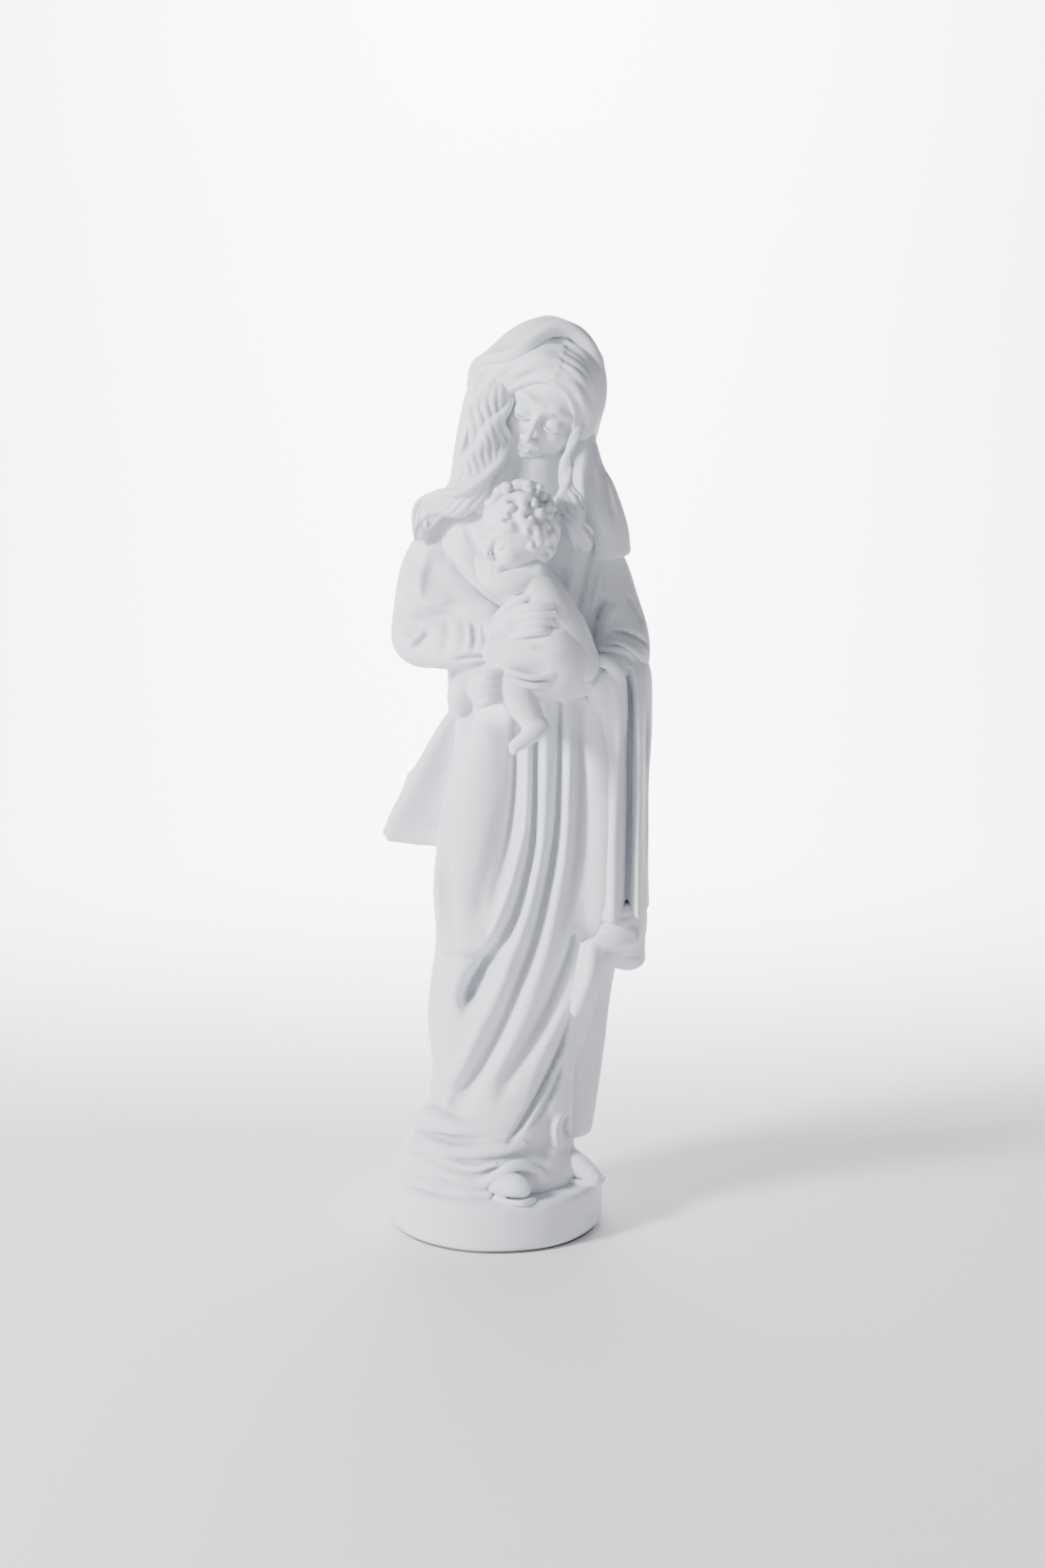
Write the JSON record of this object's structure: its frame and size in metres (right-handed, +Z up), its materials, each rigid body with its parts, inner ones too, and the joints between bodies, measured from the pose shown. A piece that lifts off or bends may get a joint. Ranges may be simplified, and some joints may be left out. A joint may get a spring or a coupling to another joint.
{
  "type": "madonna statue",
  "caption": "Standing veiled mother holding a child on her left arm, white cast stone, on a round plinth with a felt foot.",
  "frame": {"origin": "centre of the round plinth's resting face, on the floor", "axes": "+Z up the figure, -Y out of its front, +X to the viewer's right when facing the front"},
  "size_m": [0.2349, 0.2118, 0.8],
  "materials": {
    "cast_stone": "matte, fine sugary grain, lightly rubbed",
    "dowel_steel": "zinc plated, dull",
    "felt": "pressed wool felt"
  },
  "bodies": {
    "root": {"base_felt": "felt", "plinth": "cast_stone", "skirt": "cast_stone", "bodice": "cast_stone", "head": "cast_stone", "hair_crown": "cast_stone", "hair_right_lock": "cast_stone", "hair_left_lock": "cast_stone", "veil": "cast_stone", "mantle_back": "cast_stone", "mantle_fall": "cast_stone", "mantle_hem": "cast_stone", "mantle_wing": "cast_stone", "right_sleeve": "cast_stone", "right_hand": "cast_stone", "left_sleeve": "cast_stone", "left_hand": "cast_stone", "child_body": "cast_stone", "child_head": "cast_stone", "child_arm": "cast_stone", "child_wrap": "cast_stone", "child_near_leg": "cast_stone", "child_far_leg": "cast_stone", "front_foot": "cast_stone", "side_foot": "cast_stone", "skirt_train": "cast_stone", "tie_rod": "dowel_steel", "rod_washer": "dowel_steel", "rod_nut": "dowel_steel", "anchor_nut": "dowel_steel", "head_dowel": "dowel_steel", "child_dowel": "dowel_steel", "child_head_pin": "dowel_steel", "wing_dowel": "dowel_steel", "fall_dowels": "dowel_steel", "hand_pins": "dowel_steel"}
  },
  "joints": []
}
